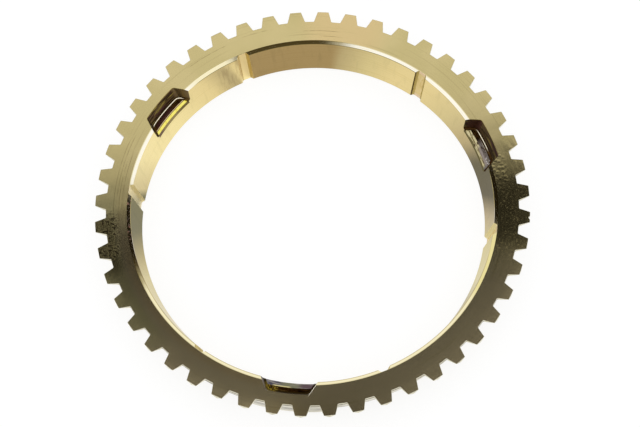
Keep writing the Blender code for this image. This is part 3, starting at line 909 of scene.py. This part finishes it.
def milled_hub_side():
    """Brass hub side, turned and milled: satin, with clear tool rings and paler edges where it has
    been handled."""
    hub = Brass("milled_satin_brass", 0.3, "#C4B582")
    rings = hub.rings(hub.radius, 0.45, 60.0)
    hub.lay("#A99A68", hub.mask(rings, 0.45, 0.75))
    hub.lay("#A88F60", hub.mask(hub.grain(9.0, 3.0), 0.5, 0.72))
    hub.lay("#DDD0A2", hub.edges(0.3))
    hub.roughen(hub.grain(2.0), 0.1)
    hub.raise_by(rings, 0.01)
    return hub.finish()


def tumbled_teeth():
    """Brass tooth flanks and points, broached and then tumbled: matt and greyish, rubbed paler on
    their ridges, with a line of painted shade at the foot of the land between two teeth."""
    teeth = Brass("tumbled_tooth_brass", 0.34, "#E4DFC8")
    teeth.lay("#CBC4A8", teeth.mask(teeth.grain(2.2, 3.0), 0.42, 0.68))
    strokes = teeth.rings(teeth.height, 0.35, 12.0)
    teeth.lay("#B9AF90", teeth.mask(strokes, 0.5, 0.75))
    teeth.lay("#F2EEDC", teeth.edges(0.25))
    # Painted shade along the foot of the land between two teeth
    land = ToothForm().root_land / MM
    teeth.lay("#5A4C2C", teeth.from_depth(land - 0.6, land - 0.5),
              teeth.line(teeth.radius, ROOT_RADIUS / MM, 0.3))
    teeth.roughen(teeth.grain(0.8), 0.12)
    teeth.raise_by(strokes, 0.008)
    return teeth.finish()


def tumbled_body():
    """Brass outside of the body, turned and then tumbled: pale grey satin, with dark tool lines
    round it."""
    body = Brass("tumbled_body_brass", 0.36, "#E2DED0")
    lines = body.rings(body.height, 0.55, 70.0)
    body.lay("#807A74", body.mask(lines, 0.48, 0.6))
    body.lay("#C9C5B6", body.mask(body.grain(4.0, 3.0), 0.5, 0.75))
    body.lay("#F2EEE0", body.edges(0.25))
    body.roughen(body.grain(0.8), 0.12)
    body.raise_by(lines, 0.01)
    return body.finish()


def forged_pocket_wall():
    """Brass pocket wall, forged and left with its brown oxide: dark, streaked along the die's
    marks, with a painted highlight in the colour of bare brass along the rim that the face's
    turning cut, and another in a corner of the lower pocket."""
    wall = Brass("oxidised_forged_wall_brass", 0.34, "#2C1D0A")
    streaks = wall.rings(wall.height, 0.6, 9.0)
    wall.lay("#5E4C30", wall.mask(streaks, 0.46, 0.56))
    wall.lay("#4A2C2C", wall.mask(wall.rings(wall.height, 0.8, 5.0), 0.52, 0.6))
    wall.lay("#85763A", wall.mask(wall.rings(wall.height, 0.5, 5.0), 0.56, 0.64))
    # One tint in the left pocket, one in the right and two in the lower one
    wall.lay("#6E5C40", wall.around(142.0, 1.0, 1.4))
    wall.lay("#4A2E24", wall.around(36.2, 1.0, 1.0))
    wall.lay("#8A8690", wall.around(263.2, 1.0, 1.0), wall.from_depth(1.6, 0.9))
    wall.lay("#8C7A2C", wall.around(263.6, 1.2, 0.8), wall.from_depth(1.2, 1.8))
    # Painted highlights: along the turned rim, and in a corner of the lower pocket
    wall.lay("#8C7A38", wall.from_depth(0.3, 0.08))
    wall.lay("#FFF6E0", wall.around(277.0, 0.8, 0.8), wall.from_depth(2.6, 1.4))
    wall.roughen(wall.grain(0.7), 0.15)
    wall.raise_by(streaks, 0.03)
    return wall.finish()


def forged_pocket_foot():
    """Brass fillet round a pocket's floor: brown, with a painted highlight as a thin pale line,
    whole in one pocket, short in the next and left out in the third."""
    foot = Brass("rubbed_pocket_fillet_brass", 0.25, "#382410")
    # Thin line along the fillet, where its highlight is painted
    middle = foot.line(foot.height, (RING_DEPTH - POCKET_DEPTH) / MM + 0.2, 0.13)
    left_or_right = foot.add("ShaderNodeMath", {
        0: foot.around(148.9, 6.0, 0.8), 1: foot.around(31.4, 2.0, 2.4)}, operation="MAXIMUM")
    foot.lay("#544020", foot.mask(foot.grain(1.2), 0.45, 0.65))
    foot.lay("#2C2008", foot.around(LOWER_POCKET, 9.0, 1.0))
    foot.lay("#94802C", foot.mask(foot.grain(0.3, 2.0), 0.46, 0.56), foot.around(264.0, 1.2, 1.0))
    # Painted highlight along the fillet in the left and right pockets
    foot.lay("#FFF6DC", middle, left_or_right)
    foot.roughen(foot.grain(0.6), 0.12)
    return foot.finish()


def forged_pocket_floor():
    """Brass pocket floor, forged: brown oxide with scratches, worn to a pale smear in one pocket
    and with gold specks in another."""
    floor = Brass("scratched_forged_floor_brass", 0.22, "#43290F")
    floor.lay("#211206", floor.mask(floor.grain(1.6, 3.0), 0.45, 0.65))
    scratches = floor.mask(floor.rings(floor.radius, 0.35, 5.0), 0.52, 0.66)
    floor.lay("#6B5026", scratches)
    floor.lay("#3A1A2A", floor.around(151.0, 2.0, 3.0), 0.6)
    smear = floor.where_all(floor.around(25.4, 4.6, 2.6), floor.from_radius(52.9, 52.0),
                            floor.mask(floor.grain(0.9, 4.0), 0.3, 0.46))
    floor.lay("#8A7F78", smear)
    floor.lay("#C9BFA8", smear, scratches)
    floor.lay("#EDE6E0", floor.around(23.6, 1.2, 1.4), floor.mask(floor.grain(0.5, 3.0), 0.5, 0.58))
    floor.lay("#C9A83C", floor.mask(floor.grain(0.3, 2.0), 0.48, 0.58),
              floor.around(264.4, 1.0, 1.2))
    floor.roughen(floor.grain(0.6), 0.15)
    floor.raise_by(scratches, 0.01)
    return floor.finish()


def forged_pocket_lip():
    """Brass lip of a pocket's floor, next to the cone: a painted reflection, bright gold in one
    pocket and slate blue in another, and scratched by the mating tab and smeared in the third."""
    lip = Brass("bare_pocket_lip_brass", 0.25, "#7D7048")
    scratches = lip.rings(lip.radius, 0.35, 3.5)
    lip.lay("#D2C79C", lip.mask(scratches, 0.42, 0.56))
    lip.lay("#5A4A34", lip.mask(lip.rings(lip.radius, 0.5, 2.0), 0.56, 0.64))
    lip.lay("#958A84", lip.around(25.4, 2.6, 3.0), lip.from_radius(49.9, 50.4))
    lip.lay("#75706C", lip.around(21.6, 0.8, 1.4))
    lip.lay("#6A6240", lip.from_radius(49.6, 49.45))

    # Painted reflection on the left pocket's lip: bright gold, with a darker strip at its inner
    # edge and a dark and then a pale line towards its outer edge
    worn = lip.mixed("#97855A", "#75643C", lip.around(142.0, 2.0, 4.0))
    worn = lip.mixed(worn, "#776452", lip.around(157.5, 2.0, 2.0))
    painted_left_reflection = lip.mixed("#FFF27A", "#EEDD62", lip.mask(lip.grain(0.8, 2.0), 0.5, 0.7))
    painted_left_reflection = lip.mixed(painted_left_reflection, worn, lip.from_radius(49.8, 49.7))
    painted_left_reflection = lip.mixed(painted_left_reflection, "#4A3A18", lip.from_radius(50.42, 50.48))
    painted_left_reflection = lip.mixed(painted_left_reflection, "#E0C69A", lip.from_radius(50.56, 50.62))
    lip.lay(painted_left_reflection, lip.around(LEFT_POCKET, *POCKET_REACH))

    # Painted reflection on the lower pocket's lip, slate blue with its scratches
    painted_lower_reflection = lip.mixed("#4B4854", "#77765F", lip.around(270.5, 2.0, 3.0))
    painted_lower_reflection = lip.mixed(painted_lower_reflection, "#5E4D52", lip.around(276.0, 1.5, 3.0))
    painted_lower_reflection = lip.mixed(painted_lower_reflection, "#8F8A84", lip.mask(scratches, 0.54, 0.68))
    painted_lower_reflection = lip.mixed(painted_lower_reflection, "#CFC48C", lip.from_radius(50.35, 50.45), lip.around(267.2, 2.0, 1.2))
    lip.lay(painted_lower_reflection, lip.around(LOWER_POCKET, *POCKET_REACH))
    lip.roughen(lip.grain(0.6), 0.12)
    return lip.finish()


def broached_groove_floor():
    """Brass groove floor, broached: cream satin with faint lines along the cut, with a painted
    reflection tone in three grooves, duller in one and paler in two, and pinkish where the broach
    left it at both ends."""
    floor = Brass("broached_floor_brass", 0.45, "#F6E4A8")
    floor.lay("#E6D28E", floor.mask(floor.grain(1.5, 3.0), 0.42, 0.68))
    floor.lay("#FBEFC2", floor.mask(floor.uprights(0.45), 0.52, 0.72))
    # Painted reflection tone: duller in the upper right groove
    floor.lay("#B8A468", floor.around(UPPER_RIGHT_GROOVE, *GROOVE_REACH), 0.4)
    top = floor.from_depth(1.6, 0.7)
    foot = floor.mask(floor.height, 1.6 * MM, 0.7 * MM)
    ends = floor.add("ShaderNodeMath", {0: top, 1: foot}, operation="MAXIMUM")
    floor.lay("#E4D0AE", ends)
    # Painted reflection tones: paler in the upper left and left grooves
    floor.lay("#FFF0B4", floor.around(UPPER_LEFT_GROOVE, *GROOVE_REACH))
    floor.lay("#FFF6D2", floor.around(LEFT_GROOVE, *GROOVE_REACH), 0.7)
    floor.roughen(floor.grain(0.8), 0.1)
    floor.raise_by(floor.uprights(0.4), 0.006)
    return floor.finish()


def broached_groove_wall():
    """Brass groove wall, broached: khaki and duller than the floor, with a painted reflection tone
    in each groove that shows, a paler one on one side of the upper left groove, and a painted
    highlight as a pale line where it meets the cone."""
    wall = Brass("broached_wall_brass", 0.6, "#DCCD92")
    wall.lay("#C8B678", wall.mask(wall.uprights(0.6), 0.42, 0.66))
    # Painted reflection tone in each groove
    for groove, tone in ((RIGHT_GROOVE, "#F0E6BC"), (UPPER_RIGHT_GROOVE, "#C4B26E"),
                         (UPPER_LEFT_GROOVE, "#CDB468"), (LEFT_GROOVE, "#F2E4B2")):
        wall.lay(tone, wall.around(groove, *GROOVE_REACH))
    # Paler painted reflection on one side of the upper left groove
    wall.lay("#F6E8B8", wall.around(122.3, 1.2, 0.4))
    # Painted highlight along the wall's edges
    wall.lay("#F4E8BC", wall.edges(0.15))
    wall.lay("#5E4C22", wall.around(61.6, 0.2, 0.15))
    wall.roughen(wall.grain(0.8), 0.1)
    return wall.finish()


def make_finishes():
    """One material for each finish number, in their order."""
    return [turned_face(), cut_chamfer(), honed_cone(), milled_hub_side(), tumbled_teeth(),
            tumbled_body(), forged_pocket_wall(), forged_pocket_foot(), forged_pocket_floor(),
            forged_pocket_lip(), broached_groove_floor(), broached_groove_wall()]


def make_world():
    world = bpy.data.worlds.new("white_studio")
    bpy.context.scene.world = world
    world.use_nodes = True
    join(world.node_tree, world.node_tree.nodes["Background"],
         {"Color": WHITE_ROOM, "Strength": 1.0})


def bare_material(name):
    """Material without any nodes."""
    material = bpy.data.materials.new(name)
    material.use_nodes = True
    material.node_tree.nodes.clear()
    return material


def make_table():
    """White table. Part of its white glows, so that it keeps a light shadow of the ring."""
    bm = bmesh.new()
    bmesh.ops.create_grid(bm, x_segments=1, y_segments=1, size=TABLE_HALF_WIDTH)
    table = make_object("table", bm)
    table.location.z = TABLE_DROP
    material = bare_material("white_table")
    tree = material.node_tree
    lit = add(tree, "ShaderNodeBsdfDiffuse", {"Color": grey(TABLE_LIT)})
    glow = add(tree, "ShaderNodeEmission", {"Color": WHITE_ROOM, "Strength": TABLE_GLOW})
    both = add(tree, "ShaderNodeAddShader", {0: lit.outputs[0], 1: glow.outputs[0]})
    add(tree, "ShaderNodeOutputMaterial", {"Surface": both.outputs[0]})
    table.data.materials.append(material)


def disc(centre, radius):
    """Outline of a round card, in millimetres."""
    turns = [2 * math.pi * step / CARD_STEPS for step in range(CARD_STEPS)]
    return [(centre[0] + radius * math.cos(turn), centre[1] + radius * math.sin(turn))
            for turn in turns]


def make_card(material, share, stops, outline, height):
    """Flat card, called like its material, that glows and that only reflections see. share says
    where along the stops each of its points lies, and outline is in millimetres."""
    tree = material.node_tree
    light = add(tree, "ShaderNodeValToRGB", {"Fac": share}, stops)
    glow = add(tree, "ShaderNodeEmission", {"Color": light.outputs["Color"], "Strength": 1.0})
    add(tree, "ShaderNodeOutputMaterial", {"Surface": glow.outputs[0]})
    bm = bmesh.new()
    bm.faces.new([bm.verts.new((x * MM, y * MM, height)) for x, y in outline])
    card = make_object(material.name, bm)
    card.data.materials.append(material)
    card.visible_camera = False
    card.visible_diffuse = False
    card.visible_shadow = False


def make_graded_card(name, centre, heading, grade, outline, height):
    """Card whose glow changes along a heading in degrees. grade gives its colour at distances in
    millimetres from a centre."""
    material = bare_material(name)
    tree = material.node_tree
    along = direction(heading)
    place = add(tree, "ShaderNodeTexCoord").outputs["Object"]
    reached = add(tree, "ShaderNodeVectorMath", {0: place, 1: along},
                  operation="DOT_PRODUCT").outputs["Value"]
    first, last = grade[0][0], grade[-1][0]
    start = centre[0] * along[0] + centre[1] * along[1]
    share = add(tree, "ShaderNodeMapRange", {
        "Value": reached, "From Min": (start + first) * MM, "From Max": (start + last) * MM})
    stops = [((distance - first) / (last - first), colour) for distance, colour in grade]
    make_card(material, share.outputs[0], stops, outline, height)


def make_cards():
    """Graded card over the ring, where its flat face mirrors it, and dark flags for the chamfer."""
    greys = [(distance, grey(level)) for distance, level in CARD_GRADE]
    make_graded_card("graded_card", FACE_IMAGE_CENTRE, CARD_TURN, greys,
                     disc(FACE_IMAGE_CENTRE, CARD_RADIUS), CARD_HEIGHT)
    for number, (heading, grade, outline) in enumerate(CHAMFER_FLAGS):
        make_graded_card(f"dark_flag_{number}", (0.0, 0.0), heading, grade, outline,
                         CARD_HEIGHT - FLAG_DROP)


def make_bore_card():
    """Round card on the table inside the ring, which the cone mirrors instead of the table."""
    material = bare_material("bore_card")
    tree = material.node_tree
    place = add(tree, "ShaderNodeTexCoord").outputs["Object"]
    turn = add(tree, "ShaderNodeTexGradient", {"Vector": place}, gradient_type="RADIAL")
    stops = [(0.5 + angle / 360, colour) for angle, colour in BORE_LIGHT]
    make_card(material, turn.outputs["Fac"], stops, disc((0.0, 0.0), BORE_CARD_RADIUS),
              BORE_CARD_LIFT)


def make_camera():
    camera = bpy.data.objects.new("camera", bpy.data.cameras.new("camera"))
    bpy.context.scene.collection.objects.link(camera)
    camera.data.lens = CAMERA_LENS_MM
    camera.data.sensor_width = CAMERA_SENSOR_MM
    camera.data.clip_start = CAMERA_NEAR
    camera.location = CAMERA_PLACE
    camera.rotation_euler = [math.radians(turn) for turn in CAMERA_TURN]
    bpy.context.scene.camera = camera


make_camera()
make_world()
make_table()
make_cards()
make_bore_card()
ring = build_ring(make_finishes())
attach(ring, "root")
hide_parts("synchronizer_ring")
bpy.context.scene.view_settings.view_transform = "Standard"
